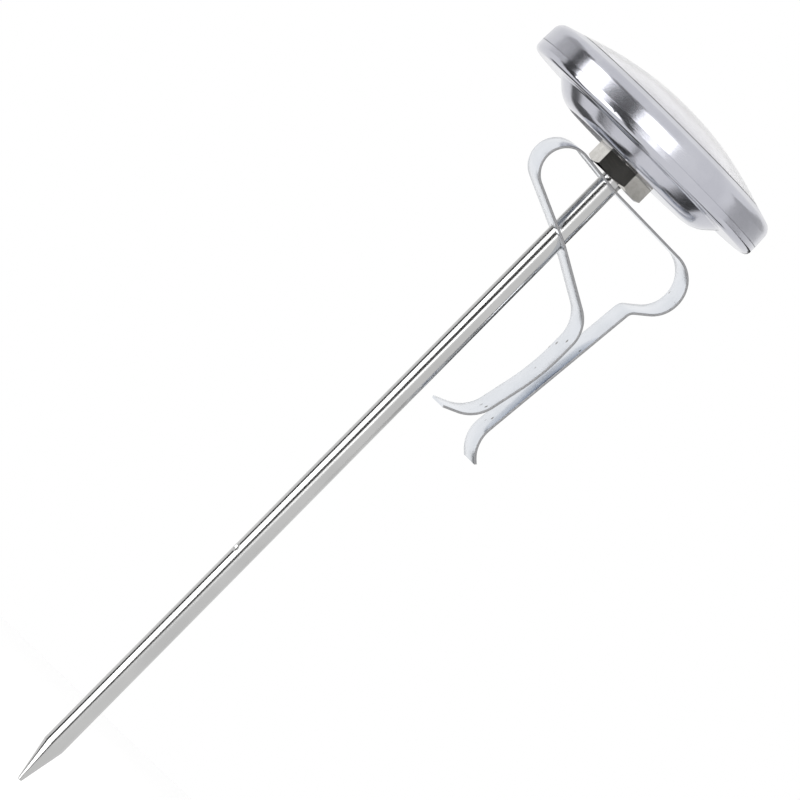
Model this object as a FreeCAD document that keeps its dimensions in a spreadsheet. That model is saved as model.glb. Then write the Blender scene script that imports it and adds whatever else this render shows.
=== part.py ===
"""Bimetal soil thermometer: a round dial case on a long pointed stem, with a bent spring clip.

The model stands on its own axis: +Z runs up the stem to the dial, the origin is on the
axis at the lower face of the hexagon nut, and the clip bends in the XZ plane with its
legs towards +X. All sizes are in millimetres and come from the sheet called "sizes".
"""

import FreeCAD, Part

import math
import os
import re

import Sketcher

SIZES = {
    # stem tube, welded point and the punched dimple that holds the lower bush
    "stem_dia": 3.6,
    "stem_wall": 0.3,
    "stem_reach": 127.3,
    "point_length": 7.3,
    "point_dia": 0.7,
    "point_round": 0.15,
    "spigot_length": 4.0,
    "dimple_rise": 48.0,
    "dimple_turn": 202.0,
    "dimple_radius": 1.0,
    "dimple_depth": 0.25,
    # clearances
    "press_gap": 0.02,
    "running_gap": 0.05,
    "face_gap": 0.05,
    # hexagon nut with the boss that carries the case
    "nut_flats": 9.3,
    "nut_height": 3.1,
    "nut_turn": 34.2,
    "nut_face_dia": 9.1,
    "nut_chamfer": 30.0,
    "boss_dia": 6.0,
    # friction stack on the boss, inside the case
    "stack_gap": 0.1,
    "seal_dia": 12.4,
    "seal_height": 0.6,
    "washer_dia": 11.2,
    "washer_wall": 0.3,
    "washer_height": 0.55,
    "collar_dia": 10.4,
    "collar_height": 0.85,
    # bushes, staff and bimetal coil inside the stem
    "bush_length": 4.0,
    "bush_flange": 0.4,
    "groove_width": 2.0,
    "groove_depth": 0.37,
    "staff_dia": 1.0,
    "ferrule_dia": 2.0,
    "ferrule_length": 2.4,
    "staff_depth": 1.6,
    "post_dia": 1.7,
    "post_length": 1.2,
    "anchor_length": 2.5,
    "coil_dia": 2.2,
    "coil_wall": 0.2,
    "coil_width": 0.8,
    "coil_pitch": 1.3,
    "coil_gap": 0.05,
    "end_float": 0.2,
    # pressed case back
    "head_dia": 45.0,
    "case_wall": 0.5,
    "cup_dia": 27.4,
    "cup_depth": 2.8,
    "flank_angle": 42.0,
    "cup_bend": 5.0,
    "foot_bend": 0.8,
    "rim_corner": 1.1,
    "seam_rise": 1.95,
    "case_top_rise": 4.0,
    # bezel ring
    "bezel_wall": 0.45,
    "skirt_gap": 0.06,
    "bezel_draft": 0.15,
    "bezel_shoulder": 1.8,
    "lip_cover": 3.7,
    "lip_angle": 17.0,
    "lip_round": 0.18,
    "seam_gap": 0.08,
    # what the case holds
    "liner_gap": 0.16,
    "support_height": 2.2,
    "ring_width": 1.9,
    "dial_wall": 0.4,
    "dial_hole": 3.0,
    "gasket_height": 0.8,
    "flange_height": 1.35,
    "flange_round": 0.4,
    "lens_gap": 0.05,
    "lens_side_gap": 0.2,
    "lens_edge": 0.05,
    "lens_crown": 3.35,
    "lens_wall": 1.5,
    "lens_land": 3.7,
    # pointer
    "hub_dia": 2.8,
    "hub_height": 0.55,
    "hub_gap": 0.35,
    "needle_reach": 16.0,
    "needle_tail": 6.0,
    "needle_root": 1.5,
    "needle_tip": 0.35,
    "needle_tail_width": 2.1,
    "needle_wall": 0.2,
    "needle_turn": 90.0,
    "cap_dia": 3.6,
    "cap_height": 0.9,
    "cap_crown": 0.35,
    "staff_bite": 0.6,
    # spring clip: strip, loop on the left, hoop on the right, two legs
    "strip_width": 7.0,
    "strip_wall": 0.4,
    "clip_drop": 1.0,
    "loop_reach": 11.15,
    "loop_rise": 1.17,
    "loop_low": 6.0,
    "loop_bend": 4.05,
    "hoop_beyond": 7.35,
    "hoop_rise": 0.25,
    "hoop_low": 7.92,
    "hoop_bend": 5.1,
    "hoop_cut": 5.3,
    "crossing_out": 0.5,
    "waist_drop": 10.94,
    "waist_bend": 20.0,
    "saddle_bend": 30.0,
    "leg_out": 12.8,
    "shoulder_drop": 17.7,
    "shoulder_bend": 5.5,
    "knee_below": 9.6,
    "knee_bend": 36.0,
    "heel_in": 2.75,
    "heel_below": 21.4,
    "heel_bend": 6.0,
    "foot_in": 5.05,
    "foot_below": 2.1,
    "neck_beyond": 2.97,
    "neck_drop": 11.31,
    "neck_bend": 1.5,
    "jaw_heel_in": 0.2,
    "jaw_heel_below": 24.0,
    "jaw_heel_bend": 5.5,
    "jaw_foot_beyond": 2.6,
    "jaw_foot_below": 2.3,
}

# radii, as text that the sheet's names are put into
STEM_R = "(stem_dia / 2)"
BORE_R = "(stem_dia / 2 - stem_wall)"
PLUG_R = f"({BORE_R} - press_gap)"
STAFF_R = "(staff_dia / 2)"
BOSS_R = "(boss_dia / 2)"
HEAD_R = "(head_dia / 2)"
NUT_CORNER_R = "(nut_flats / 2 / cos(30))"
SKIRT_R = f"({HEAD_R} - bezel_wall)"
CASE_R = f"({SKIRT_R} - skirt_gap)"
INNER_R = f"({CASE_R} - case_wall)"
LINER_R = f"({INNER_R} - liner_gap)"
LIP_R = f"({HEAD_R} - lip_cover)"
LENS_R = f"({LIP_R} - lens_side_gap)"
LAND_R = f"({LINER_R} - lens_land)"
FLANK_RUN = "(cup_depth / tan(flank_angle))"

# heights on the axis
TUBE_END = "(point_length - stem_reach)"
ANCHOR_FOOT = f"({TUBE_END} + spigot_length)"
ANCHOR_TOP = f"({ANCHOR_FOOT} + anchor_length)"
DIMPLE = "(dimple_rise - stem_reach)"
LOWER_BUSH = f"({DIMPLE} - bush_length / 2)"
FERRULE_TOP = f"({LOWER_BUSH} - end_float)"
FERRULE_FOOT = f"({FERRULE_TOP} - ferrule_length)"
BACK = "(nut_height + face_gap)"
SEAL_FOOT = f"({BACK} + case_wall)"
WASHER_FOOT = f"({SEAL_FOOT} + seal_height + face_gap)"
COLLAR_FOOT = f"({WASHER_FOOT} + washer_height)"
BOSS_TOP = f"({COLLAR_FOOT} + collar_height)"
RIM = f"({BACK} + cup_depth)"
FLOOR = f"({RIM} + case_wall)"
SEAM = f"({RIM} + seam_rise)"
DIAL_FOOT = f"({FLOOR} + support_height)"
DIAL_TOP = f"({DIAL_FOOT} + dial_wall)"
LENS_FOOT = f"({DIAL_TOP} + gasket_height)"
FLANGE_TOP = f"({LENS_FOOT} + flange_height)"
LIP_UNDER = f"({FLANGE_TOP} + lens_gap)"
LIP_THICK = "(bezel_wall / cos(lip_angle))"
LIP_TOP = f"({LIP_UNDER} + ({LINER_R} - {LIP_R}) * tan(lip_angle) + {LIP_THICK})"
DOME_EDGE = f"({LIP_TOP} + lens_edge)"
CROWN = f"({DOME_EDGE} + lens_crown)"
LENS_SPHERE = f"(({LENS_R} * {LENS_R} + lens_crown * lens_crown) / (2 * lens_crown))"
HUB_FOOT = f"({DIAL_TOP} + hub_gap)"
NEEDLE_FOOT = f"({HUB_FOOT} + hub_height)"
CAP_FOOT = f"({NEEDLE_FOOT} + needle_wall)"
HINGE = "(-clip_drop - hoop_cut)"

TOLERANCE = 1e-4  # for telling one round edge from another
PAST = 1.0  # how far the section of a cut reaches outside the metal
ONWARD = 2.0  # how far a clip path runs past the hinge before it is trimmed there
TRIM_SIDE = 8.0  # side of the block that trims it, square across the strip

doc = FreeCAD.newDocument("soil_thermometer")
sheet = doc.addObject("Spreadsheet::Sheet", "sizes")
parts = []


def fill_sheet():
    """One row per driving size: its name in column A, its value in column B."""
    for row, (alias, size) in enumerate(SIZES.items(), start=1):
        sheet.set(f"A{row}", alias.replace("_", " "))
        sheet.set(f"B{row}", str(size))
        sheet.setAlias(f"B{row}", alias)
    doc.recompute()


def cells(text):
    """The same expression with each size's name pointing at its cell."""
    return re.sub(r"[a-z_]+", lambda m: "sizes." + m[0] if m[0] in SIZES else m[0], text)


def value(text):
    """What an expression comes to with the sheet as it is now."""
    return float(sheet.evalExpression(cells(text)))


def bind(item, **properties):
    for name, text in properties.items():
        item.setExpression(name, cells(text))


def bind_path(item, path, text):
    item.setExpression(path, cells(text))


def keep(item):
    """Marks a finished sub-part: its name is the name of its STEP file."""
    item.Label = item.Name
    parts.append(item)
    return item


# ---- sketches -------------------------------------------------------------------------


def origin_plane(body, role):
    return next(f for f in body.Origin.OriginFeatures if f.Role == role)


def new_sketch(body, name, role="XZ_Plane"):
    sketch = body.newObject("Sketcher::SketchObject", name)
    sketch.AttachmentSupport = [(origin_plane(body, role), "")]
    sketch.MapMode = "FlatFace"
    return sketch


def fix_point(sketch, geometry, end, across, along, label):
    """Ties one end of a sketch edge to two expressions, measured from the origin."""
    for kind, text in (("DistanceX", across), ("DistanceY", along)):
        limit = Sketcher.Constraint(kind, -1, 1, geometry, end, value(text))
        number = sketch.addConstraint(limit)
        sketch.renameConstraint(number, f"{label}_{kind[-1]}")
        bind_path(sketch, f"Constraints.{label}_{kind[-1]}", text)


def axis_arc(start, end):
    """The arc between two points whose centre lies on the sketch's vertical axis.

    Returns it with the numbers of its ends that lie at start and at end."""
    height = (start.dot(start) - end.dot(end)) / (2 * (start.y - end.y))
    centre = FreeCAD.Vector(0, height, 0)
    circle = Part.Circle(centre, FreeCAD.Vector(0, 0, 1), start.distanceToPoint(centre))
    turns = [math.atan2(point.y - height, point.x) for point in (start, end)]
    arc = Part.ArcOfCircle(circle, min(turns), max(turns))
    return arc, (1, 2) if turns[0] < turns[1] else (2, 1)


def closed_outline(sketch, corners):
    """Straight edges round the corners, and a domed edge after a corner marked "dome"."""
    points = [FreeCAD.Vector(value(c[0]), value(c[1]), 0) for c in corners]
    ends = []
    for number, corner in enumerate(corners):
        start, end = points[number], points[(number + 1) % len(points)]
        if len(corner) == 3:
            arc, arc_ends = axis_arc(start, end)
            sketch.addGeometry(arc)
            ends.append(arc_ends)
            sketch.addConstraint(Sketcher.Constraint("PointOnObject", number, 3, -2))
        else:
            sketch.addGeometry(Part.LineSegment(start, end))
            ends.append((1, 2))
    for number in range(len(corners)):
        after = (number + 1) % len(corners)
        joint = Sketcher.Constraint(
            "Coincident", number, ends[number][1], after, ends[after][0]
        )
        sketch.addConstraint(joint)
    for number, corner in enumerate(corners):
        fix_point(sketch, number, ends[number][0], corner[0], corner[1], f"corner{number}")


# ---- solids ---------------------------------------------------------------------------


def turned(name, corners):
    """A body of revolution: the corners are (radius, height) round one half section."""
    body = doc.addObject("PartDesign::Body", name)
    sketch = new_sketch(body, f"{name}_section")
    closed_outline(sketch, corners)
    turn = body.newObject("PartDesign::Revolution", f"{name}_turn")
    turn.Profile = sketch
    turn.ReferenceAxis = (sketch, ["V_Axis"])
    turn.Angle = 360
    doc.recompute()
    return keep(body)


def is_ring(edge, radius, height):
    # a dome has an edge without a curve where it meets the axis
    if edge.Degenerated or not isinstance(edge.Curve, Part.Circle):
        return False
    curve = edge.Curve
    same_radius = abs(curve.Radius - radius) < TOLERANCE
    return same_radius and abs(curve.Center.z - height) < TOLERANCE


def round_rings(body, radius, rings):
    """Fillets the round edges that lie at each (radius, height)."""
    base = body.Tip
    names = []
    for across, along in rings:
        ring = (value(across), value(along))
        for number, edge in enumerate(base.Shape.Edges, start=1):
            if is_ring(edge, *ring):
                names.append(f"Edge{number}")
    fillet = body.newObject("PartDesign::Fillet", f"{body.Name}_bend")
    fillet.Base = (base, names)
    bind(fillet, Radius=radius)
    doc.recompute()
    return fillet


def washer(name, inner, outer, foot, top):
    return turned(name, [(inner, foot), (outer, foot), (outer, top), (inner, top)])


def primitive(body, kind, name, foot, **properties):
    """A PartDesign primitive that stands on the axis, from the height foot upwards."""
    item = body.newObject(f"PartDesign::{kind}", name)
    item.AttachmentSupport = [(origin_plane(body, "XY_Plane"), "")]
    item.MapMode = "FlatFace"
    bind_path(item, "AttachmentOffset.Base.z", foot)
    bind(item, **properties)
    return item


def boolean(kind, name, base, tool):
    item = doc.addObject(f"Part::{kind}", name)
    item.Base = base
    item.Tool = tool
    return item


def cylinder(name, radius, foot, height):
    item = doc.addObject("Part::Cylinder", name)
    bind(item, Radius=radius, Height=height)
    bind_path(item, "Placement.Base.z", foot)
    return item


# ---- stem -----------------------------------------------------------------------------


def dimple_ball(name, radius):
    """A ball outside the tube wall, at the dimple's height and side of the stem."""
    ball = doc.addObject("Part::Sphere", name)
    reach = f"({STEM_R} + dimple_radius - dimple_depth)"
    bind(ball, Radius=radius)
    bind_path(ball, "Placement.Base.x", f"{reach} * cos(dimple_turn)")
    bind_path(ball, "Placement.Base.y", f"{reach} * sin(dimple_turn)")
    bind_path(ball, "Placement.Base.z", DIMPLE)
    return ball


def make_stem_tube():
    """A drawn tube whose wall is pushed in at one dimple."""
    length = f"{BOSS_TOP} - {TUBE_END}"
    rod = cylinder("stem_rod", STEM_R, TUBE_END, length)
    bore = cylinder("stem_bore", BORE_R, TUBE_END, length)
    bulge = dimple_ball("dimple_bulge", "dimple_radius + stem_wall")
    dent = dimple_ball("dimple_dent", "dimple_radius")
    tube = boolean("Cut", "stem_bored", rod, bore)
    pushed = boolean("Common", "stem_bulge", rod, bulge)
    whole = boolean("Fuse", "stem_bulged", tube, pushed)
    keep(boolean("Cut", "stem_tube", whole, dent))


def make_probe_tip():
    """The ground point, with a spigot that plugs the tube."""
    body = turned(
        "probe_tip",
        [
            ("0", "-stem_reach"),
            ("point_dia / 2", "-stem_reach"),
            (STEM_R, TUBE_END),
            (PLUG_R, TUBE_END),
            (PLUG_R, ANCHOR_FOOT),
            ("0", ANCHOR_FOOT),
        ],
    )
    round_rings(body, "point_round", [("point_dia / 2", "-stem_reach")])


def make_calibration_nut():
    """The hexagon that a wrench holds, with a plain boss that goes through the case.

    The corners of its lower end are turned off along a ball whose centre is on the axis."""
    body = doc.addObject("PartDesign::Body", "calibration_nut")
    hexagon = primitive(
        body, "AdditivePrism", "nut_hexagon", "0", Circumradius=NUT_CORNER_R, Height="nut_height"
    )
    hexagon.Polygon = 6
    bind_path(hexagon, "AttachmentOffset.Rotation.Angle", "nut_turn")
    primitive(
        body, "AdditiveCylinder", "nut_boss", "0", Radius=BOSS_R, Height=BOSS_TOP
    )
    primitive(
        body,
        "SubtractiveCylinder",
        "nut_bore",
        "0",
        Radius=f"{STEM_R} + press_gap",
        Height=BOSS_TOP,
    )
    doc.recompute()
    sketch = new_sketch(body, "nut_chamfer_section")
    beyond = f"({NUT_CORNER_R} + {PAST})"
    rise = f"(({beyond} - nut_face_dia / 2) * tan(nut_chamfer))"
    closed_outline(
        sketch,
        [("nut_face_dia / 2", "0"), (beyond, f"-{PAST}"), (beyond, rise, "dome")],
    )
    groove = body.newObject("PartDesign::Groove", "nut_chamfer_cut")
    groove.Profile = sketch
    groove.ReferenceAxis = (sketch, ["V_Axis"])
    groove.Angle = 360
    doc.recompute()
    keep(body)


def make_friction_stack():
    """Seal on the case floor, coned washer over it, and the collar pressed on the boss."""
    inner, outer = f"({BOSS_R} + stack_gap)", "(washer_dia / 2)"
    washer("seal_washer", inner, "seal_dia / 2", SEAL_FOOT, f"{SEAL_FOOT} + seal_height")
    turned(
        "friction_washer",
        [
            (inner, f"{COLLAR_FOOT} - washer_wall"),
            (outer, WASHER_FOOT),
            (outer, f"{WASHER_FOOT} + washer_wall"),
            (inner, COLLAR_FOOT),
        ],
    )
    washer(
        "retaining_collar", f"{BOSS_R} + press_gap", "collar_dia / 2", COLLAR_FOOT, BOSS_TOP
    )


def make_bushes():
    """Two bushes guide the staff: one flanged at the tube's top, one at the dimple."""
    bore = f"({STAFF_R} + running_gap)"
    flange_top = f"({BOSS_TOP} + bush_flange)"
    turned(
        "upper_bush",
        [
            (bore, f"{BOSS_TOP} - bush_length"),
            (PLUG_R, f"{BOSS_TOP} - bush_length"),
            (PLUG_R, BOSS_TOP),
            (STEM_R, BOSS_TOP),
            (STEM_R, flange_top),
            (bore, flange_top),
        ],
    )
    groove_r = f"({PLUG_R} - groove_depth)"
    top = f"({LOWER_BUSH} + bush_length)"
    turned(
        "lower_bush",
        [
            (bore, LOWER_BUSH),
            (PLUG_R, LOWER_BUSH),
            (PLUG_R, f"{DIMPLE} - groove_width / 2"),
            (groove_r, f"{DIMPLE} - groove_width / 2"),
            (groove_r, f"{DIMPLE} + groove_width / 2"),
            (PLUG_R, f"{DIMPLE} + groove_width / 2"),
            (PLUG_R, top),
            (bore, top),
        ],
    )


def make_bimetal_coil():
    """A flat strip wound round the two posts, from the anchor up to the ferrule."""
    post = "(post_dia / 2)"
    turned(
        "coil_anchor",
        [
            ("0", ANCHOR_FOOT),
            (PLUG_R, ANCHOR_FOOT),
            (PLUG_R, ANCHOR_TOP),
            (post, ANCHOR_TOP),
            (post, f"{ANCHOR_TOP} + post_length"),
            ("0", f"{ANCHOR_TOP} + post_length"),
        ],
    )
    body = doc.addObject("PartDesign::Body", "bimetal_coil")
    sketch = new_sketch(body, "coil_section")
    inner = "((coil_dia - coil_wall) / 2)"
    outer = "((coil_dia + coil_wall) / 2)"
    foot = f"({ANCHOR_TOP} + coil_gap)"
    closed_outline(
        sketch,
        [
            (inner, foot),
            (outer, foot),
            (outer, f"{foot} + coil_width"),
            (inner, f"{foot} + coil_width"),
        ],
    )
    helix = body.newObject("PartDesign::AdditiveHelix", "coil_turns")
    helix.Profile = sketch
    helix.ReferenceAxis = (sketch, ["V_Axis"])
    helix.Mode = "pitch-height-angle"
    bind(
        helix,
        Pitch="coil_pitch",
        Height=f"{FERRULE_FOOT} - {foot} - coil_width - coil_gap",
    )
    doc.recompute()
    keep(body)


# ---- pointer --------------------------------------------------------------------------


def make_pointer():
    """Ferrule, staff, hub, needle and cap, which turn together on the axis."""
    hole = f"({STAFF_R} + press_gap)"
    post = "(post_dia / 2)"
    seat = f"({FERRULE_TOP} - staff_depth)"
    turned(
        "coil_ferrule",
        [
            ("0", f"{FERRULE_FOOT} - post_length"),
            (post, f"{FERRULE_FOOT} - post_length"),
            (post, FERRULE_FOOT),
            ("ferrule_dia / 2", FERRULE_FOOT),
            ("ferrule_dia / 2", FERRULE_TOP),
            (hole, FERRULE_TOP),
            (hole, seat),
            ("0", seat),
        ],
    )
    staff_top = f"({CAP_FOOT} + staff_bite)"
    turned(
        "pointer_staff",
        [("0", seat), (STAFF_R, seat), (STAFF_R, staff_top), ("0", staff_top)],
    )
    washer("pointer_hub", hole, "hub_dia / 2", HUB_FOOT, NEEDLE_FOOT)
    make_needle(hole)
    cap_side = f"({CAP_FOOT} + cap_height - cap_crown)"
    turned(
        "pointer_cap",
        [
            (hole, CAP_FOOT),
            ("cap_dia / 2", CAP_FOOT),
            ("cap_dia / 2", cap_side, "dome"),
            ("0", f"{CAP_FOOT} + cap_height"),
            ("0", staff_top),
            (hole, staff_top),
        ],
    )


def make_needle(hole):
    """A flat blade with a long tapered end and a short wide tail."""
    body = doc.addObject("PartDesign::Body", "pointer_needle")
    sketch = new_sketch(body, "needle_outline", "XY_Plane")
    bind_path(sketch, "AttachmentOffset.Base.z", NEEDLE_FOOT)
    root, tip, tail = "needle_root / 2", "needle_tip / 2", "needle_tail_width / 2"
    closed_outline(
        sketch,
        [
            ("-needle_tail", f"-{tail}"),
            ("0", f"-{root}"),
            ("needle_reach", f"-{tip}"),
            ("needle_reach", tip),
            ("0", root),
            ("-needle_tail", tail),
        ],
    )
    pad = body.newObject("PartDesign::Pad", "needle_blade")
    pad.Profile = sketch
    bind(pad, Length="needle_wall")
    primitive(
        body,
        "SubtractiveCylinder",
        "needle_eye",
        NEEDLE_FOOT,
        Radius=hole,
        Height="needle_wall",
    )
    bind_path(body, "Placement.Rotation.Angle", "needle_turn")
    doc.recompute()
    keep(body)


# ---- head -----------------------------------------------------------------------------


def make_case_back():
    """A pressed cup: flat back, raked flank, flat rim, side wall and a joggle for the bezel."""
    hole = f"({BOSS_R} + running_gap)"
    flat, foot = "(cup_dia / 2)", f"(cup_dia / 2 + {FLANK_RUN})"
    # the inner skin is the outer one moved in by the wall, so its bends shift sideways
    shift = "(case_wall * tan(flank_angle / 2))"
    inner_flat, inner_foot = f"({flat} - {shift})", f"({foot} - {shift})"
    rim_inner = f"({HEAD_R} - case_wall)"
    top = f"({RIM} + case_top_rise)"
    body = turned(
        "case_back",
        [
            (hole, BACK),
            (flat, BACK),
            (foot, RIM),
            (HEAD_R, RIM),
            (HEAD_R, SEAM),
            (CASE_R, SEAM),
            (CASE_R, top),
            (INNER_R, top),
            (INNER_R, f"{SEAM} - case_wall"),
            (rim_inner, f"{SEAM} - case_wall"),
            (rim_inner, FLOOR),
            (inner_foot, FLOOR),
            (inner_flat, f"{BACK} + case_wall"),
            (hole, f"{BACK} + case_wall"),
        ],
    )
    round_rings(body, "cup_bend", [(flat, BACK)])
    round_rings(body, "cup_bend - case_wall", [(inner_flat, f"{BACK} + case_wall")])
    round_rings(body, "foot_bend", [(foot, RIM)])
    round_rings(body, "foot_bend + case_wall", [(inner_foot, FLOOR)])
    round_rings(body, "rim_corner", [(HEAD_R, RIM)])
    round_rings(body, "rim_corner - case_wall", [(rim_inner, FLOOR)])


def make_bezel_ring():
    """The polished ring that covers the joint and holds the lens down."""
    foot = f"({SEAM} + seam_gap)"
    top_r = f"({HEAD_R} - bezel_draft)"
    slope = "tan(lip_angle)"
    shoulder = f"({LIP_UNDER} - ({top_r} - {LINER_R}) * {slope} + {LIP_THICK})"
    crease = f"({LIP_UNDER} - ({SKIRT_R} - {LINER_R}) * {slope})"
    body = turned(
        "bezel_ring",
        [
            (HEAD_R, foot),
            (top_r, shoulder),
            (LIP_R, LIP_TOP),
            (LIP_R, f"{LIP_TOP} - {LIP_THICK}"),
            (SKIRT_R, crease),
            (SKIRT_R, foot),
        ],
    )
    round_rings(body, "bezel_shoulder", [(top_r, shoulder)])
    round_rings(body, "bezel_shoulder - bezel_wall", [(SKIRT_R, crease)])
    round_rings(body, "lip_round", [(LIP_R, LIP_TOP)])


def make_lens():
    """A domed clear cover whose flange sits under the bezel's lip."""
    slope = "tan(lip_angle)"
    neck_top = f"({FLANGE_TOP} + ({LINER_R} - {LENS_R}) * {slope})"
    hollow = f"({CROWN} - {LENS_SPHERE})"
    inner_sphere = f"({LENS_SPHERE} - lens_wall)"
    land_top = f"({hollow} + sqrt({inner_sphere} * {inner_sphere} - {LAND_R} * {LAND_R}))"
    body = turned(
        "lens",
        [
            ("0", CROWN, "dome"),
            (LENS_R, DOME_EDGE),
            (LENS_R, neck_top),
            (LINER_R, FLANGE_TOP),
            (LINER_R, LENS_FOOT),
            (LAND_R, LENS_FOOT),
            (LAND_R, land_top, "dome"),
            ("0", f"{CROWN} - lens_wall"),
        ],
    )
    round_rings(body, "flange_round", [(LINER_R, FLANGE_TOP)])


def make_dial_stack():
    """Support ring, dial and gasket, clamped between the case floor and the lens."""
    ring_inner = f"({LINER_R} - ring_width)"
    washer("dial_support", ring_inner, LINER_R, FLOOR, DIAL_FOOT)
    washer("dial_plate", "dial_hole / 2", LINER_R, DIAL_FOOT, DIAL_TOP)
    washer("lens_gasket", ring_inner, LINER_R, DIAL_TOP, LENS_FOOT)


# ---- clip -----------------------------------------------------------------------------

HOOP_X = "(leg_out + hoop_beyond)"
NECK_X = "(leg_out + neck_beyond)"
HEEL_Z = "(-clip_drop - shoulder_drop - heel_below)"
JAW_HEEL_X = "(leg_out - jaw_heel_in)"
JAW_HEEL_Z = "(-clip_drop - shoulder_drop - jaw_heel_below)"

# centre line of the strip as (out, up, bend radius), from the inner foot up to the hinge
STRIP_CORNERS = [
    ("leg_out - heel_in - foot_in", f"{HEEL_Z} - foot_below", None),
    ("leg_out - heel_in", HEEL_Z, "heel_bend"),
    ("leg_out", "-clip_drop - shoulder_drop - knee_below", "knee_bend"),
    ("leg_out", "-clip_drop - shoulder_drop", "shoulder_bend"),
    ("crossing_out", "-clip_drop - waist_drop", "waist_bend"),
    ("-loop_reach", "-clip_drop - loop_low", "loop_bend"),
    ("-loop_reach", "-clip_drop + loop_rise", "loop_bend"),
    ("crossing_out", "-clip_drop", "saddle_bend"),
    (HOOP_X, "-clip_drop - hoop_rise", "hoop_bend"),
    (HOOP_X, f"{HINGE} - {ONWARD}", None),
]

# and from the hinge down to the outer foot
JAW_CORNERS = [
    (HOOP_X, f"{HINGE} + {ONWARD}", None),
    (HOOP_X, "-clip_drop - hoop_low", "hoop_bend"),
    (NECK_X, "-clip_drop - neck_drop", "neck_bend"),
    (JAW_HEEL_X, JAW_HEEL_Z, "jaw_heel_bend"),
    (f"{JAW_HEEL_X} + jaw_foot_beyond", f"{JAW_HEEL_Z} - jaw_foot_below", None),
]


def bent_strip(name, corners):
    """Spring strip that follows straight runs joined by tangent bends in the XZ plane."""
    path = doc.addObject("Sketcher::SketchObject", f"{name}_path")
    path.Placement.Rotation = FreeCAD.Rotation(FreeCAD.Vector(1, 0, 0), 90)
    points = [FreeCAD.Vector(value(out), value(up), 0) for out, up, _ in corners]
    for start, end in zip(points, points[1:]):
        path.addGeometry(Part.LineSegment(start, end))
    last = len(corners) - 1
    for number in range(1, last):
        path.addConstraint(Sketcher.Constraint("Coincident", number - 1, 2, number, 1))
    for number, (out, up, _) in enumerate(corners):
        edge, end = (number, 1) if number < last else (number - 1, 2)
        fix_point(path, edge, end, out, up, f"corner{number}")
    for number in range(1, last):
        bend = corners[number][2]
        arc = path.GeometryCount
        path.fillet(number - 1, 2, value(bend), True, True)
        limit = path.addConstraint(Sketcher.Constraint("Radius", arc, value(bend)))
        path.renameConstraint(limit, f"bend{number}")
        bind_path(path, f"Constraints.bend{number}", bend)
    band = doc.addObject("Part::Offset2D", f"{name}_band")
    band.Source = path
    band.Mode = "Pipe"
    band.Fill = True
    bind(band, Value="strip_wall / 2")
    strip = doc.addObject("Part::Extrusion", f"{name}_blank")
    strip.Base = band
    strip.DirMode = "Custom"
    strip.Dir = FreeCAD.Vector(0, 1, 0)
    strip.Symmetric = True
    strip.Solid = True
    bind(strip, LengthFwd="strip_width")
    return strip


def trim_box(name, foot):
    """A block round the hoop's outer edge that squares a strip's end at the hinge."""
    box = doc.addObject("Part::Box", name)
    width = f"(strip_width + {TRIM_SIDE})"
    bind(box, Length=f"{TRIM_SIDE}", Width=width, Height=f"{2 * ONWARD}")
    bind_path(box, "Placement.Base.x", f"{HOOP_X} - {TRIM_SIDE} / 2")
    bind_path(box, "Placement.Base.y", f"-{width} / 2")
    bind_path(box, "Placement.Base.z", foot)
    return box


def make_clip():
    """The one-piece spring clip, parted at the hoop's outermost point into two nodes."""
    strip = bent_strip("clip", STRIP_CORNERS)
    depth = "(clip_drop + shoulder_drop)"
    stem_way = cylinder("clip_eyes", f"{STEM_R} + running_gap", f"-{depth}", depth)
    pierced = boolean("Cut", "clip_pierced", strip, stem_way)
    below = trim_box("below_hinge", f"{HINGE} - {2 * ONWARD}")
    keep(boolean("Cut", "clip_strip", pierced, below))
    jaw = bent_strip("jaw", JAW_CORNERS)
    above = trim_box("above_hinge", HINGE)
    keep(boolean("Cut", "clip_jaw", jaw, above))


# ---- build, check and write -----------------------------------------------------------


def check_document():
    """Stops before anything is written if an object failed or a shape is unsound."""
    doc.recompute()
    for item in doc.Objects:
        if {"Invalid", "Error"} & set(item.State):
            raise RuntimeError(f"{item.Name} failed: {item.State}")
    for item in parts:
        shape = item.Shape
        if shape.isNull() or not shape.isValid() or len(shape.Solids) != 1:
            raise RuntimeError(f"{item.Name} isn't one valid solid")


def write_parts():
    os.makedirs("parts", exist_ok=True)
    for item in parts:
        item.Shape.exportStep(f"parts/{item.Label}.step")
        print(f"{item.Label:18s} {item.Shape.Volume:10.3f} mm3")


fill_sheet()
make_stem_tube()
make_probe_tip()
make_calibration_nut()
make_friction_stack()
make_bushes()
make_bimetal_coil()
make_pointer()
make_case_back()
make_bezel_ring()
make_lens()
make_dial_stack()
make_clip()
check_document()
write_parts()
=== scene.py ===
"""Bimetal soil thermometer: finishes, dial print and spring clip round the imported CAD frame.

Metres, +Z along the stem towards the dial, as in the frame. The camera looks squarely at
the stem, a little round from its front, and is rolled so that the stem runs up to the right.
"""

import math

import bmesh
import bpy
import numpy as np
from mathutils import Matrix, Vector


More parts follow.
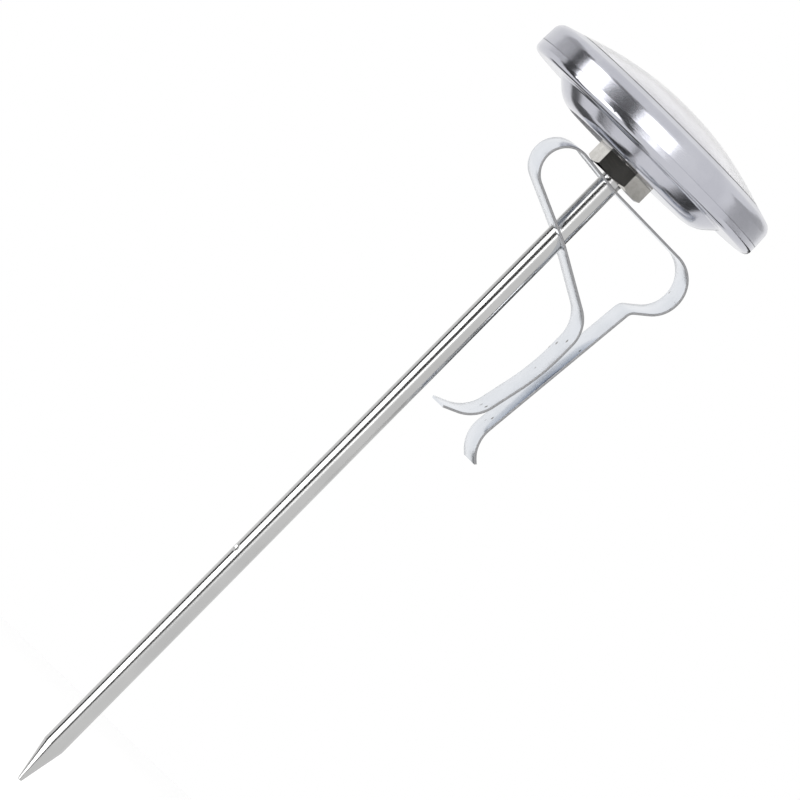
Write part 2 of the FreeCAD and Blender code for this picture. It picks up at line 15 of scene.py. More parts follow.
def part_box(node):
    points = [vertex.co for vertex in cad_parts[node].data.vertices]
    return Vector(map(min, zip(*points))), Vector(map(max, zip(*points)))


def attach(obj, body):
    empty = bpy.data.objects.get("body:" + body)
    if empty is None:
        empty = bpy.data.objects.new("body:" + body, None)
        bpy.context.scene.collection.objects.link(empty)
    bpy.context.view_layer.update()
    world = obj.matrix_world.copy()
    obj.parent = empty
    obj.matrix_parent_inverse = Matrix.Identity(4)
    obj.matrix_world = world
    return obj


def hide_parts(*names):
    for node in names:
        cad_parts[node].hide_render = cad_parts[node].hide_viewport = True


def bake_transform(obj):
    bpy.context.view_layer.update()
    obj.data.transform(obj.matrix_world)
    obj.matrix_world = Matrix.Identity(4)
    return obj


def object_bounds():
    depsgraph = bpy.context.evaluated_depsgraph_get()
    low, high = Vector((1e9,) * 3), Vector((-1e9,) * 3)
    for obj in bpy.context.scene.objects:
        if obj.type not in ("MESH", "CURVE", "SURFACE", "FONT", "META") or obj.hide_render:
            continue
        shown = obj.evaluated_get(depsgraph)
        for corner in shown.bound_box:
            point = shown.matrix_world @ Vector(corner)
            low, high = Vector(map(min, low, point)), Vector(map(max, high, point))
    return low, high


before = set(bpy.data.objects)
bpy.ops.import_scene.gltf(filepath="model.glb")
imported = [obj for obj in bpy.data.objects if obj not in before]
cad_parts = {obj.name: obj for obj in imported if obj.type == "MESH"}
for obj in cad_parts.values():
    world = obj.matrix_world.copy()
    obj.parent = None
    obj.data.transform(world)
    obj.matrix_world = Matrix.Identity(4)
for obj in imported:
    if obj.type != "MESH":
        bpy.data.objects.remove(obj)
cad_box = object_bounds()
MM = 0.001


def add_object(name, data):
    """A new object in the scene, on a mesh, a curve, a light or a camera."""
    made = bpy.data.objects.new(name, data)
    bpy.context.scene.collection.objects.link(made)
    return made


# ---- shader building ------------------------------------------------------------------


class Nodes:
    """A node tree, with short calls for the nodes that the finishes and the sky need."""

    def __init__(self, tree):
        self.tree = tree

    def node(self, kind, **settings):
        made = self.tree.nodes.new(kind)
        for key, setting in settings.items():
            setattr(made, key, setting)
        return made

    def feed(self, socket, source):
        """Links a socket, or sets its value where the source is a number or a colour."""
        if isinstance(source, bpy.types.NodeSocket):
            self.tree.links.new(source, socket)
        elif isinstance(source, (tuple, list)) and len(source) == 3 and socket.type == "RGBA":
            socket.default_value = (*source, 1)
        else:
            socket.default_value = source

    def math(self, operation, *values):
        made = self.node("ShaderNodeMath", operation=operation)
        for number, source in enumerate(values):
            self.feed(made.inputs[number], source)
        return made.outputs[0]

    def spread(self, source, low, high, to_low=0.0, to_high=1.0):
        """Maps low..high onto to_low..to_high, held at both ends."""
        made = self.node("ShaderNodeMapRange")
        for number, setting in enumerate((source, low, high, to_low, to_high)):
            self.feed(made.inputs[number], setting)
        return made.outputs[0]

    def blend(self, share, first, second):
        made = self.node("ShaderNodeMix", data_type="RGBA")
        self.feed(made.inputs["Factor"], share)
        self.feed(made.inputs["A"], first)
        self.feed(made.inputs["B"], second)
        return made.outputs["Result"]


class Shader(Nodes):
    """A material, with its places in the object's own coordinates."""

    def __init__(self, name):
        self.material = bpy.data.materials.new(name)
        self.material.use_nodes = True
        super().__init__(self.material.node_tree)
        self.surface = self.tree.nodes["Principled BSDF"]
        self.place = self.node("ShaderNodeTexCoord").outputs["Object"]

    def set(self, **sockets):
        for key, source in sockets.items():
            self.feed(self.surface.inputs[key.replace("_", " ")], source)

    def stretched(self, scale, turn=(0, 0, 0)):
        """Object coordinates stretched along the axes, for grain with a direction."""
        made = self.node("ShaderNodeMapping")
        self.feed(made.inputs["Vector"], self.place)
        made.inputs["Scale"].default_value = scale
        made.inputs["Rotation"].default_value = turn
        return made.outputs[0]

    def noise(self, scale, where=None, detail=3.0, roughness=0.55):
        made = self.node("ShaderNodeTexNoise")
        self.feed(made.inputs["Vector"], where or self.place)
        made.inputs["Scale"].default_value = scale
        made.inputs["Detail"].default_value = detail
        made.inputs["Roughness"].default_value = roughness
        return made.outputs["Fac"]

    def spots(self, scale):
        """Distance to the nearest of many scattered points."""
        made = self.node("ShaderNodeTexVoronoi")
        self.feed(made.inputs["Vector"], self.place)
        made.inputs["Scale"].default_value = scale
        return made.outputs["Distance"]

    def bump(self, height, depth):
        """Relief of the given depth in metres for a height from 0 to 1."""
        made = self.node("ShaderNodeBump")
        made.inputs["Distance"].default_value = depth
        self.feed(made.inputs["Height"], height)
        return made.outputs[0]


def metal(name, colour, second, roughness, grain_scale, grain_depth, spread=0.05):
    """Bare metal: clouded colour and roughness, with a fine directional grain in the relief."""
    made = Shader(name)
    clouds = made.noise(90.0, detail=4.0)
    grain = made.noise(1.0, made.stretched(grain_scale), detail=4.0, roughness=0.7)
    wear = made.spread(clouds, 0.35, 0.65)
    both = made.math("ADD", made.math("MULTIPLY", grain, 0.6), made.math("MULTIPLY", clouds, 0.4))
    made.set(
        Base_Color=made.blend(wear, colour, second),
        Metallic=1.0,
        Roughness=made.spread(both, 0.3, 0.7, roughness - spread, roughness + spread),
        Normal=made.bump(grain, grain_depth),
    )
    return made.material


def stem_finish():
    """Drawn tube: fine lines along it, and a slightly clouded grey."""
    return metal(
        "stem_finish",
        (0.535, 0.534, 0.53),
        (0.49, 0.49, 0.487),
        roughness=0.15,
        grain_scale=(6000, 6000, 14),
        grain_depth=0.0000003,
    )


def nut_finish():
    """Bright drawn hexagon: fine cutter lines across it, stained and lightly pitted."""
    made = Shader("nut_finish")
    cut = made.noise(1.0, made.stretched((700, 700, 9000)), detail=5.0, roughness=0.75)
    pits = made.noise(5200.0, detail=3.0, roughness=0.8)
    stain = made.spread(made.noise(420.0, detail=4.0), 0.4, 0.62)
    dark = made.spread(made.math("ADD", pits, made.math("MULTIPLY", cut, 0.5)), 0.78, 1.0)
    base = made.blend(stain, (0.66, 0.645, 0.615), (0.56, 0.545, 0.515))
    made.set(
        Base_Color=made.blend(dark, base, (0.33, 0.315, 0.29)),
        Metallic=1.0,
        Roughness=made.spread(pits, 0.3, 0.7, 0.03, 0.08),
        Normal=made.bump(made.math("ADD", cut, pits), 0.0000006),
    )
    return made.material


def case_finish():
    """Pressed bright sheet with faint draw marks round the cup."""
    return metal(
        "case_finish",
        (0.545, 0.55, 0.60),
        (0.50, 0.505, 0.555),
        roughness=0.15,
        grain_scale=(1400, 1400, 5200),
        grain_depth=0.000003,
        spread=0.03,
    )


def bezel_finish():
    """Buffed rolled ring: bright, with a fine satin haze that varies round the rim."""
    made = Shader("bezel_finish")
    haze = made.spread(made.noise(120.0, detail=4.0), 0.4, 0.62)
    lines = made.noise(1.0, made.stretched((260, 260, 9000)), detail=5.0, roughness=0.7)
    grit = made.noise(6500.0, detail=3.0, roughness=0.8)
    relief = made.math("ADD", lines, made.math("MULTIPLY", grit, 0.6))
    satin = made.spread(haze, 0, 1, 0.15, 0.21)
    gritty = made.spread(grit, 0.3, 0.7, 0, 0.05)
    made.set(
        Base_Color=made.blend(haze, (0.545, 0.55, 0.60), (0.50, 0.505, 0.555)),
        Metallic=1.0,
        Roughness=made.math("ADD", satin, gritty),
        Normal=made.bump(relief, 0.0000035),
    )
    return made.material


def spring_finish():
    """Rolled spring strip: pale, satin and a little clouded on its faces, with a few pits."""
    made = Shader("spring_finish")
    rolled = made.noise(1.0, made.stretched((900, 7000, 900)), detail=5.0, roughness=0.65)
    clouds = made.spread(made.noise(260.0, detail=4.0), 0.38, 0.64)
    pit = made.spread(made.spots(480.0), 0.10, 0.17, 1.0, 0.0)
    few = made.math("MULTIPLY", pit, made.spread(made.noise(150.0, detail=1.0), 0.52, 0.56))
    face = made.blend(clouds, (0.74, 0.765, 0.81), (0.69, 0.72, 0.765))
    made.set(
        Base_Color=made.blend(few, face, (0.16, 0.15, 0.14)),
        Metallic=1.0,
        Roughness=made.spread(rolled, 0.3, 0.7, 0.13, 0.24),
        Normal=made.bump(made.math("SUBTRACT", rolled, few), 0.000006),
    )
    return made.material


def spring_edge_finish():
    """The strip's sheared edge: darker, rough and torn."""
    made = Shader("spring_edge_finish")
    torn = made.noise(3800.0, detail=4.0, roughness=0.8)
    made.set(
        Base_Color=made.blend(made.spread(torn, 0.4, 0.62), (0.27, 0.27, 0.275), (0.37, 0.37, 0.38)),
        Metallic=1.0,
        Roughness=made.spread(torn, 0.3, 0.7, 0.3, 0.5),
        Normal=made.bump(torn, 0.000012),
    )
    return made.material


def lens_finish():
    """Clear moulded plastic with a faint haze and hairline scratches on its dome."""
    made = Shader("lens_finish")
    scratch = made.noise(1.0, made.stretched((500, 9000, 500), (0, 0, 0.6)), detail=3.0)
    haze = made.noise(140.0, detail=3.0)
    made.set(
        Base_Color=made.blend(made.spread(haze, 0.4, 0.6), (0.90, 0.895, 0.93), (0.92, 0.915, 0.945)),
        Roughness=made.spread(haze, 0.35, 0.65, 0.02, 0.07),
        IOR=1.49,
        Transmission_Weight=1.0,
        Normal=made.bump(scratch, 0.0000008),
    )
    return made.material


def dial_finish():
    """White enamelled sheet with orange-peel relief and a soft gloss."""
    made = Shader("dial_finish")
    peel = made.noise(2400.0, detail=2.0)
    tone = made.noise(70.0, detail=3.0)
    made.set(
        Base_Color=made.blend(made.spread(tone, 0.35, 0.65), (0.85, 0.85, 0.86), (0.82, 0.82, 0.83)),
        Roughness=made.spread(peel, 0.3, 0.7, 0.32, 0.42),
        Normal=made.bump(peel, 0.000004),
    )
    return made.material


def ink_finish(name, colour, second):
    """Screen-printed ink: a little uneven, more matt than the enamel under it."""
    made = Shader(name)
    cover = made.noise(5200.0, detail=3.0)
    made.set(
        Base_Color=made.blend(made.spread(cover, 0.4, 0.65), colour, second),
        Roughness=made.spread(cover, 0.3, 0.7, 0.45, 0.6),
        Normal=made.bump(cover, 0.000003),
    )
    return made.material


def plastic_finish(name, colour, second, roughness):
    """Moulded plastic or rubber with a fine spark-eroded texture."""
    made = Shader(name)
    grain = made.noise(3600.0, detail=3.0, roughness=0.7)
    tone = made.noise(160.0, detail=3.0)
    made.set(
        Base_Color=made.blend(made.spread(tone, 0.38, 0.62), colour, second),
        Roughness=made.spread(grain, 0.3, 0.7, roughness - 0.06, roughness + 0.06),
        Normal=made.bump(grain, 0.000008),
    )
    return made.material


def pointer_finish():
    """Red lacquer on a thin blade, with a little orange peel."""
    made = Shader("pointer_finish")
    peel = made.noise(3000.0, detail=2.0)
    made.set(
        Base_Color=made.blend(made.spread(peel, 0.35, 0.65), (0.62, 0.022, 0.02), (0.54, 0.016, 0.018)),
        Roughness=made.spread(peel, 0.3, 0.7, 0.28, 0.36),
        Normal=made.bump(peel, 0.000004),
    )
    return made.material


def bimetal_finish():
    """Rolled bimetal strip with straw and blue heat colours in soft bands."""
    made = Shader("bimetal_finish")
    band = made.spread(made.noise(1.0, made.stretched((60, 60, 220)), detail=2.0), 0.4, 0.6)
    rolled = made.noise(1.0, made.stretched((900, 900, 5200)), detail=4.0)
    made.set(
        Base_Color=made.blend(band, (0.60, 0.52, 0.40), (0.47, 0.46, 0.48)),
        Metallic=1.0,
        Roughness=made.spread(rolled, 0.3, 0.7, 0.25, 0.4),
        Normal=made.bump(rolled, 0.000005),
    )
    return made.material


# ---- finishes on the CAD nodes --------------------------------------------------------

spring_face = spring_finish()
spring_edge = spring_edge_finish()

FINISHES = {
    "stem_steel": stem_finish(),
    "nut_steel": nut_finish(),
    "case_steel": case_finish(),
    "bezel_steel": bezel_finish(),
    "spring_steel": spring_face,
    "clear_plastic": lens_finish(),
    "dial_white": dial_finish(),
    "support_plastic": plastic_finish(
        "support_finish", (0.05, 0.05, 0.052), (0.035, 0.035, 0.037), 0.5
    ),
    "gasket_rubber": plastic_finish("gasket_finish", (0.03, 0.03, 0.03), (0.05, 0.05, 0.048), 0.75),
    "brass": metal(
        "brass_finish", (0.72, 0.55, 0.26), (0.64, 0.48, 0.22), 0.24, (700, 700, 7000), 0.000008
    ),
    "staff_steel": metal(
        "staff_finish", (0.70, 0.70, 0.71), (0.62, 0.62, 0.64), 0.2, (900, 900, 6000), 0.000005
    ),
    "bimetal": bimetal_finish(),
    "pointer_red": pointer_finish(),
    "washer_steel": metal(
        "washer_finish", (0.66, 0.66, 0.65), (0.58, 0.58, 0.57), 0.3, (2200, 2200, 2200), 0.00001
    ),
}

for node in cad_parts.values():
    for place, packed in enumerate(node.data.materials):
        node.data.materials[place] = FINISHES[packed.name.split(".")[0]]


# ---- spring clip ----------------------------------------------------------------------

# centre line of the strip as (x, z, bend radius) in millimetres, from the inner foot round
# the small loop, over the stem, round the hoop and down to the outer foot
CLIP_CORNERS = [
    (5.0, -42.2, 0),
    (10.05, -40.1, 6.0),
    (12.8, -28.3, 36.0),
    (12.8, -18.7, 5.5),
    (0.5, -11.94, 20.0),
    (-11.15, -7.0, 4.05),
    (-11.15, 0.17, 4.05),
    (0.5, -1.0, 30.0),
    (20.15, -1.25, 5.1),
    (20.15, -8.92, 5.1),
    (15.77, -12.31, 1.5),
    (12.6, -42.7, 5.5),
    (15.2, -45.0, 0),
]
STRIP_WALL = 0.4 * MM
STRIP_STEP = 0.35 * MM  # about how far apart the points of the centre line lie
EDGE_EASE = 0.22  # rounding of the sheared edges, as a share of the wall
EYE_CLEARANCE = 0.05 * MM
EYE_DEPTH = 18 * MM  # reaches down past the lower eye
TOP_RUN_LOW = -3 * MM  # a little below the run that crosses over the stem
HOOP_START = 14.9 * MM  # how far out on that run the hoop's piece begins


def tangent_path(corners, step):
    """Points along straight runs joined by tangent arcs, about one step apart."""
    points = [np.array(corner[:2]) for corner in corners]
    route = [points[0]]
    for number in range(1, len(points) - 1):
        corner, bend = points[number], corners[number][2]
        back = points[number - 1] - corner
        on = points[number + 1] - corner
        back, on = back / np.linalg.norm(back), on / np.linalg.norm(on)
        half = math.acos(max(-1.0, min(1.0, float(back @ on)))) / 2
        reach = bend / math.tan(half)
        start, end = corner + back * reach, corner + on * reach
        centre = corner + (back + on) / np.linalg.norm(back + on) * bend / math.sin(half)
        turn = math.pi - 2 * half
        side = start - centre
        away = math.copysign(1.0, side[0] * (end - centre)[1] - side[1] * (end - centre)[0])
        count = max(4, math.ceil(turn * bend / step))
        run_to(route, start, step)
        for share in np.linspace(0, 1, count + 1)[1:]:
            angle = away * turn * share
            c, s = math.cos(angle), math.sin(angle)
            route.append(centre + np.array((c * side[0] - s * side[1], s * side[0] + c * side[1])))
    run_to(route, points[-1], step)
    return np.array(route)


def run_to(route, end, step):
    """Carries a route on to end in even steps."""
    start = route[-1]
    count = max(1, math.ceil(np.linalg.norm(end - start) / step))
    route.extend(start + (end - start) * share for share in np.linspace(0, 1, count + 1)[1:])


def strip_mesh(name, route, width, wall):
    """A band of the given width along Y, with its two sheared edges softly broken."""
    ahead = np.gradient(route, axis=0)
    ahead /= np.linalg.norm(ahead, axis=1)[:, None]
    across = np.stack((-ahead[:, 1], ahead[:, 0]), axis=1)
    half, thick, ease = width / 2, wall / 2, wall * EDGE_EASE
    # section as (along Y, through the wall), rounded at the four corners
    section = []
    for y_side, t_side in ((1, 1), (-1, 1), (-1, -1), (1, -1)):
        quarter = [
            (y_side * (half - ease * (1 - math.sin(a))), t_side * (thick - ease * (1 - math.cos(a))))
            for a in np.linspace(0, math.pi / 2, 4)
        ]
        section.extend(quarter if y_side * t_side < 0 else quarter[::-1])
    mesh = bpy.data.meshes.new(name)
    vertices = [
        (place[0] + t * side[0], y, place[1] + t * side[1])
        for place, side in zip(route, across)
        for y, t in section
    ]
    ring = len(section)
    faces = [
        (r * ring + k, r * ring + (k + 1) % ring, (r + 1) * ring + (k + 1) % ring, (r + 1) * ring + k)
        for r in range(len(route) - 1)
        for k in range(ring)
    ]
    faces.append(tuple(range(ring))[::-1])
    faces.append(tuple(range((len(route) - 1) * ring, len(route) * ring)))
    mesh.from_pydata(vertices, [], faces)
    mesh.update()
    return mesh


def strip_piece(name, route):
    """One length of the strip along part of the centre line."""
    strip_low, strip_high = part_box("clip_strip")
    return add_object(name, strip_mesh(name, route, strip_high.y - strip_low.y, STRIP_WALL))


def pierce(clip):
    """Cuts the two round eyes that the stem passes through."""
    eye = bpy.data.meshes.new("eye")
    shape = bmesh.new()
    eye_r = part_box("stem_tube")[1].x + EYE_CLEARANCE
    down = Matrix.Translation((0, 0, -EYE_DEPTH / 2))
    bmesh.ops.create_cone(
        shape, cap_ends=True, segments=64, radius1=eye_r, radius2=eye_r, depth=EYE_DEPTH, matrix=down
    )
    shape.to_mesh(eye)
    shape.free()
    cutter = add_object("eye", eye)
    cut = clip.modifiers.new("eyes", "BOOLEAN")
    cut.operation = "DIFFERENCE"
    cut.solver = "EXACT"
    cut.object = cutter
    settle(clip)
    bpy.data.objects.remove(cutter)


def settle(piece):
    """Applies a piece's modifiers to its mesh."""
    graph = bpy.context.evaluated_depsgraph_get()
    made = bpy.data.meshes.new_from_object(piece.evaluated_get(graph))
    piece.modifiers.clear()
    old = piece.data
    piece.data = made
    bpy.data.meshes.remove(old)


def finish_clip(clip):
    """Edges take the sheared finish and faces the rolled one, and the bends shade smoothly."""
    mesh = clip.data
    mesh.materials.clear()
    mesh.materials.append(spring_face)
    mesh.materials.append(spring_edge)
    for face in mesh.polygons:
        face.material_index = 1 if abs(face.normal.y) > 0.5 else 0
        face.use_smooth = True
    mesh.set_sharp_from_angle(angle=math.radians(40))


def make_clip():
    """The strip parts on its straight top run, where both pieces have the same ring of points.
    The first piece goes with the clip, and the piece with the hoop is baked in place on no body."""
    route = tangent_path([(x * MM, z * MM, bend * MM) for x, z, bend in CLIP_CORNERS], STRIP_STEP)
    over_stem = np.flatnonzero((route[:, 1] > TOP_RUN_LOW) & (route[:, 0] < HOOP_START))[-1]
    body = strip_piece("spring_clip", route[: over_stem + 1])
    pierce(body)
    finish_clip(body)
    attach(body, "clip")
    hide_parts("clip_strip")
    jaw = strip_piece("spring_clip_jaw", route[over_stem:])
    finish_clip(jaw)
    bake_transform(jaw)
    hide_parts("clip_jaw")


make_clip()


# ---- dial print -----------------------------------------------------------------------

DIAL_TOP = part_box("dial_plate")[1].z
INK = 0.02 * MM  # ink thickness
SCALE_LOW, SCALE_HIGH = -10, 60
DEGREE = 4.0  # angle on the dial for one degree of temperature
TOP_READING = 20  # the reading at twelve o'clock
ARC_R = 17.0 * MM  # outer ends of the ticks
# ticks at every so many degrees, with their length and width
TICKS = [(10, 2.3 * MM, 0.32 * MM), (5, 1.6 * MM, 0.22 * MM), (1, 1.1 * MM, 0.13 * MM)]
NUMBER_R, NUMBER_SIZE = 12.7 * MM, 2.7 * MM
UNIT_PLACE, UNIT_SIZE = (0, -8.6 * MM), 3.2 * MM
BAND_INNER, BAND_OUTER = ARC_R + 0.35 * MM, ARC_R + 1.25 * MM
BOLDNESS = 0.012  # how far a character's outline is grown, as a share of its size


def dial_angle(reading):
    """Angle from +X, in radians, at which a reading lies: it rises clockwise."""
    return math.radians(90 - (reading - TOP_READING) * DEGREE)


def slab(shape, corners, low, high):
    """A flat closed piece between two heights. Its (x, y) corners run anticlockwise."""
    floor = [shape.verts.new((x, y, low)) for x, y in corners]
    roof = [shape.verts.new((x, y, high)) for x, y in corners]
    shape.faces.new(floor[::-1])
    shape.faces.new(roof)
    for number in range(len(corners)):
        after = (number + 1) % len(corners)
        shape.faces.new((floor[number], floor[after], roof[after], roof[number]))


def tick(shape, angle, inner, outer, width):
    out = Vector((math.cos(angle), math.sin(angle)))
    side = Vector((-out.y, out.x)) * width / 2
    corners = [out * inner - side, out * outer - side, out * outer + side, out * inner + side]
    slab(shape, [tuple(c) for c in corners], DIAL_TOP, DIAL_TOP + INK)


def arc_band(shape, first, last, inner, outer):
    """A thin printed ring section, out along its outer arc and back along its inner one."""
    count = max(2, round((last - first) / math.radians(2)))
    angles = np.linspace(first, last, count + 1)
    corners = [(math.cos(a) * outer, math.sin(a) * outer) for a in angles]
    corners += [(math.cos(a) * inner, math.sin(a) * inner) for a in angles[::-1]]
    slab(shape, corners, DIAL_TOP, DIAL_TOP + INK)


def printed(name, mesh, material):
    """A piece of one ink on the dial plate. It turns with the head."""
    mesh.materials.clear()
    mesh.materials.append(material)
    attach(add_object(name, mesh), "head")


def printed_shape(name, shape, material):
    mesh = bpy.data.meshes.new(name)
    shape.to_mesh(mesh)
    shape.free()
    printed(name, mesh, material)


def make_scale(material):
    shape = bmesh.new()
    for reading in range(SCALE_LOW, SCALE_HIGH + 1):
        length, width = next(size for every, *size in TICKS if reading % every == 0)
        tick(shape, dial_angle(reading), ARC_R - length, ARC_R, width)
    printed_shape("dial_ticks", shape, material)


def make_band(name, low, high, material):
    """A coloured arc outside the ticks, between two readings."""
    shape = bmesh.new()
    arc_band(shape, dial_angle(high), dial_angle(low), BAND_INNER, BAND_OUTER)
    printed_shape(name, shape, material)


def lettering(name, text, size, centre, material):
    """Printed characters, made from the built-in face and centred on a point."""
    curve = bpy.data.curves.new(name, "FONT")
    curve.body = text
    curve.size = size
    curve.align_x = "CENTER"
    curve.align_y = "CENTER"
    curve.extrude = INK / 2
    curve.offset = size * BOLDNESS
    outline = add_object(name, curve)
    graph = bpy.context.evaluated_depsgraph_get()
    mesh = bpy.data.meshes.new_from_object(outline.evaluated_get(graph))
    bpy.data.objects.remove(outline)
    low = Vector(min(v.co[n] for v in mesh.vertices) for n in range(3))
    high = Vector(max(v.co[n] for v in mesh.vertices) for n in range(3))
    middle = (low + high) / 2
    mesh.transform(Matrix.Translation(Vector((*centre, DIAL_TOP + INK / 2)) - middle))
    printed(name, mesh, material)


def make_numbers(material):
    for reading in range(SCALE_LOW, SCALE_HIGH + 1, 10):
        angle = dial_angle(reading)
        sign = "minus_" if reading < 0 else ""
        name = f"dial_number_{sign}{abs(reading)}"
        centre = (NUMBER_R * math.cos(angle), NUMBER_R * math.sin(angle))
        lettering(name, str(reading), NUMBER_SIZE, centre, material)


black_ink = ink_finish("black_ink", (0.016, 0.016, 0.018), (0.03, 0.03, 0.032))
blue_ink = ink_finish("blue_ink", (0.05, 0.16, 0.42), (0.07, 0.19, 0.46))
green_ink = ink_finish("green_ink", (0.06, 0.30, 0.09), (0.08, 0.34, 0.11))
red_ink = ink_finish("red_ink", (0.52, 0.045, 0.035), (0.57, 0.06, 0.05))
make_scale(black_ink)
make_numbers(black_ink)
lettering("dial_unit", "°C", UNIT_SIZE, UNIT_PLACE, black_ink)
# cold, growing and hot soil
make_band("dial_band_cold", -10, 5, blue_ink)
make_band("dial_band_growing", 12, 30, green_ink)
make_band("dial_band_hot", 40, 60, red_ink)


# ---- stage, lights and camera ---------------------------------------------------------

VIEW_TURN = math.radians(18)  # how far round from the front the camera stands
VIEW_ROLL = math.radians(45.318)  # angle of the stem above the picture's lower edge
VIEW_AIM = Vector((0, 0, -46.1 * MM))
VIEW_SIDE = 0.56 * MM
VIEW_DISTANCE = 1.5106
LENS = 450.0
SIGHT = 20.0  # how far the camera sees

AMBIENT = 0.55  # sky light on plain surfaces, where the sky that is seen has a strength of 1
FLOOR_LIFT = 0.35  # glow that brings the floor that is seen up to white
FLOOR_HALF = 0.9
CLIP_REACH = 0.025  # how far the clip's legs hang below the point when it is slid right down
SHEET_REACH = 0.7  # from the stem's axis to the upright sheets
SHEET_STEP = 3  # most degrees that one face of a sheet spans
WEDGE_HEIGHT = -2.5

# greys of the sheets round the object, which the polished metal mirrors as its bands
CLOTHS = {"flag": 0.04, "card": 0.5, "dim": 0.14}

# upright sheets: each row is a height and its first and last angle from the camera
WALLS = [
    (
        "sheet_left",
        "flag",
        [
            (-0.9, -103, -86),
            (-0.05, -104, -79),
            (0.002, -104, -79),
            (0.005, -132, -66),
            (0.0195, -132, -66),
            (0.021, -100, -83),
            (0.3, -100, -83),
        ],
    ),
    (
        "sheet_front_left",
        "flag",
        [
            (-0.9, -28, -15),
            (-0.15, -28, -15),
            (-0.045, -40, -12),
            (0.012, -43, -10),
            (0.016, -46, -2),
            (0.0275, -46, -2),
            (0.029, -50, -14),
            (0.09, -58, -20),
            (0.3, -58, -20),
        ],
    ),
    ("sheet_right", "flag", [(-0.042, 92, 176), (0.018, 92, 176)]),
    ("sheet_behind", "flag", [(-0.075, 180.5, 181.8), (0.02, 180.5, 181.8)]),
    # the two high ones shade the ends of the bezel, and the next one the nut
    ("card_left", "card", [(0.05, -128, -100), (0.4, -128, -100)]),
    ("card_right", "card", [(0.05, 86, 150), (0.4, 86, 150)]),
    ("card_nut", "card", [(0.018, 92, 116), (0.028, 92, 116)]),
    ("card_low_behind", "dim", [(-0.9, -180, -140), (-0.38, -180, -140)]),
]

# flat sheets far below, which the raked flank of the case mirrors: first and last angle
# from the camera, and how far in and out they reach
WEDGES = [
    ("sheet_under_back", -180, -148, 0.02, 3.0),
    ("sheet_under_left", -134, -122, 0.95, 1.6),
    ("sheet_under_right", 125, 146, 1.3, 3.0),
]

# each lamp's angle from the camera, distance and height, its width and height, its power
LAMPS = {
    "key": (-60, 1.0, -0.22, 1.0, 1.0, 8.0),
    "front": (-2, 1.2, 0.22, 0.80, 0.24, 1.6),
    "front_low": (-1, 1.2, -0.023, 0.38, 0.114, 0.23),
    "top": (20, 0.9, 0.9, 0.8, 0.8, 14),
}

toward_camera = Vector((-math.sin(VIEW_TURN), -math.cos(VIEW_TURN), 0))
camera_side = Vector((math.cos(VIEW_TURN), -math.sin(VIEW_TURN), 0))


def around(angle, distance, height):
    """A point round the stem's axis: angle is from the camera, positive on the legs' side."""
    a = math.radians(angle)
    way = toward_camera * math.cos(a) + camera_side * math.sin(a)
    return way * distance + Vector((0, 0, height))


def make_camera():
    data = bpy.data.cameras.new("camera")
    data.lens = LENS
    data.clip_end = SIGHT
    camera = add_object("camera", data)
    up_axis = Vector((0, 0, 1))
    right = up_axis * math.cos(VIEW_ROLL) + camera_side * math.sin(VIEW_ROLL)
    up = up_axis * math.sin(VIEW_ROLL) - camera_side * math.cos(VIEW_ROLL)
    place = VIEW_AIM + camera_side * VIEW_SIDE + toward_camera * VIEW_DISTANCE
    turn = Matrix((right, up, toward_camera)).transposed().to_4x4()
    camera.matrix_world = Matrix.Translation(place) @ turn
    bpy.context.scene.camera = camera


def make_lamp(name, angle, distance, height, width, tall, power):
    data = bpy.data.lights.new(name, "AREA")
    data.shape = "RECTANGLE"
    data.size, data.size_y = width, tall
    data.energy = power
    lamp = add_object(name, data)
    place = around(angle, distance, height)
    # a lamp shines along its own -Z, so its +Z points away from the nut
    turn = place.to_track_quat("Z", "Y").to_matrix().to_4x4()
    lamp.matrix_world = Matrix.Translation(place) @ turn
    return lamp


def seen_plainly(made):
    """1 for camera, mirror and glass rays, so that metal and glass show the same backdrop."""
    path = made.node("ShaderNodeLightPath")
    rays = [path.outputs[f"Is {kind} Ray"] for kind in ("Camera", "Glossy", "Transmission")]
    return made.math("MAXIMUM", made.math("MAXIMUM", rays[0], rays[1]), rays[2])


def make_world():
    """A white sky where it is seen, and a dimmer one where it lights plain surfaces."""
    world = bpy.data.worlds.new("studio")
    world.use_nodes = True
    made = Nodes(world.node_tree)
    sky = made.tree.nodes["Background"]
    made.feed(sky.inputs["Color"], (1, 1, 1))
    made.feed(sky.inputs["Strength"], made.spread(seen_plainly(made), 0, 1, AMBIENT, 1))
    bpy.context.scene.world = world


def floor_finish():
    """Pale board. The camera sees it lifted to white, with the shadow left in."""
    made = Shader("floor_finish")
    mottle = made.noise(9.0, detail=4.0)
    made.set(
        Base_Color=made.blend(mottle, (0.80, 0.80, 0.80), (0.84, 0.84, 0.84)),
        Roughness=made.spread(mottle, 0.3, 0.7, 0.7, 0.8),
        Emission_Color=(1.0, 1.0, 1.0),
        Emission_Strength=made.math("MULTIPLY", seen_plainly(made), FLOOR_LIFT),
    )
    return made.material


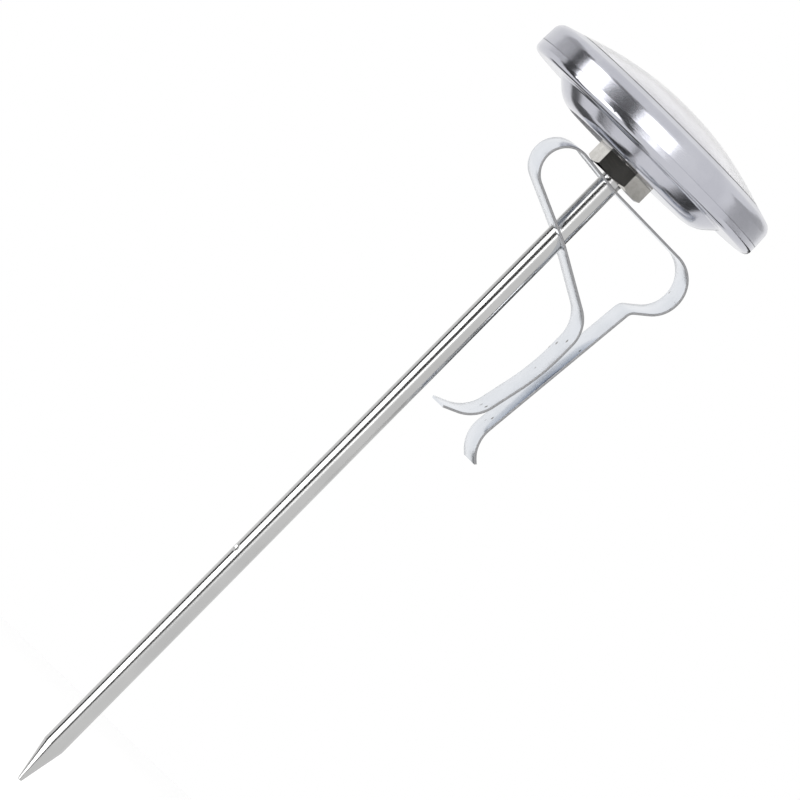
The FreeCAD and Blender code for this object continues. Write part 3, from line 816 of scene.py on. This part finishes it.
def make_floor():
    mesh = bpy.data.meshes.new("floor")
    level = cad_box[0].z - CLIP_REACH
    sides = ((-1, -1), (1, -1), (1, 1), (-1, 1))
    corners = [(x * FLOOR_HALF, y * FLOOR_HALF, level) for x, y in sides]
    mesh.from_pydata(corners, [], [(0, 1, 2, 3)])
    mesh.materials.append(floor_finish())
    floor = add_object("floor", mesh)
    # the metal mirrors the sheets and lamps below the floor's level instead
    floor.visible_glossy = False


def cloth_finish(name, shade):
    """Matt cloth of one grey, with a faint weave."""
    made = Shader(name)
    weave = made.noise(900.0, detail=2.0)
    made.set(
        Base_Color=made.blend(weave, (shade * 0.9,) * 3, (shade * 1.1,) * 3),
        Roughness=0.95,
    )
    return made.material


def studio_sheet(name, rows, material):
    """A sheet between rows of points. It only shows as a reflection in the polished metal."""
    across = len(rows[0])
    quads = [
        (start, start + 1, start + 1 + across, start + across)
        for row in range(len(rows) - 1)
        for start in range(row * across, (row + 1) * across - 1)
    ]
    mesh = bpy.data.meshes.new(name)
    mesh.from_pydata([tuple(point) for row in rows for point in row], [], quads)
    mesh.materials.append(material)
    sheet = add_object(name, mesh)
    sheet.visible_camera = False
    sheet.visible_diffuse = False
    sheet.visible_transmission = False
    sheet.visible_shadow = False


def arc_row(first, last, steps, reach, height):
    return [around(angle, reach, height) for angle in np.linspace(first, last, steps + 1)]


def sheet_steps(widest):
    """How many faces wide a sheet of this many degrees is."""
    return max(2, math.ceil(widest / SHEET_STEP))


def make_sheets():
    cloths = {name: cloth_finish(f"{name}_finish", shade) for name, shade in CLOTHS.items()}
    for name, cloth, rows in WALLS:
        steps = sheet_steps(max(last - first for _, first, last in rows))
        upright = [arc_row(first, last, steps, SHEET_REACH, height) for height, first, last in rows]
        studio_sheet(name, upright, cloths[cloth])
    for name, first, last, inner, outer in WEDGES:
        steps = sheet_steps(last - first)
        flat = [arc_row(first, last, steps, reach, WEDGE_HEIGHT) for reach in (inner, outer)]
        studio_sheet(name, flat, cloths["flag"])


make_camera()
make_floor()
make_world()
make_sheets()
lamps = {name: make_lamp(name, *facts) for name, facts in LAMPS.items()}
lamps["top"].visible_glossy = False

bpy.context.scene.view_settings.view_transform = "Standard"
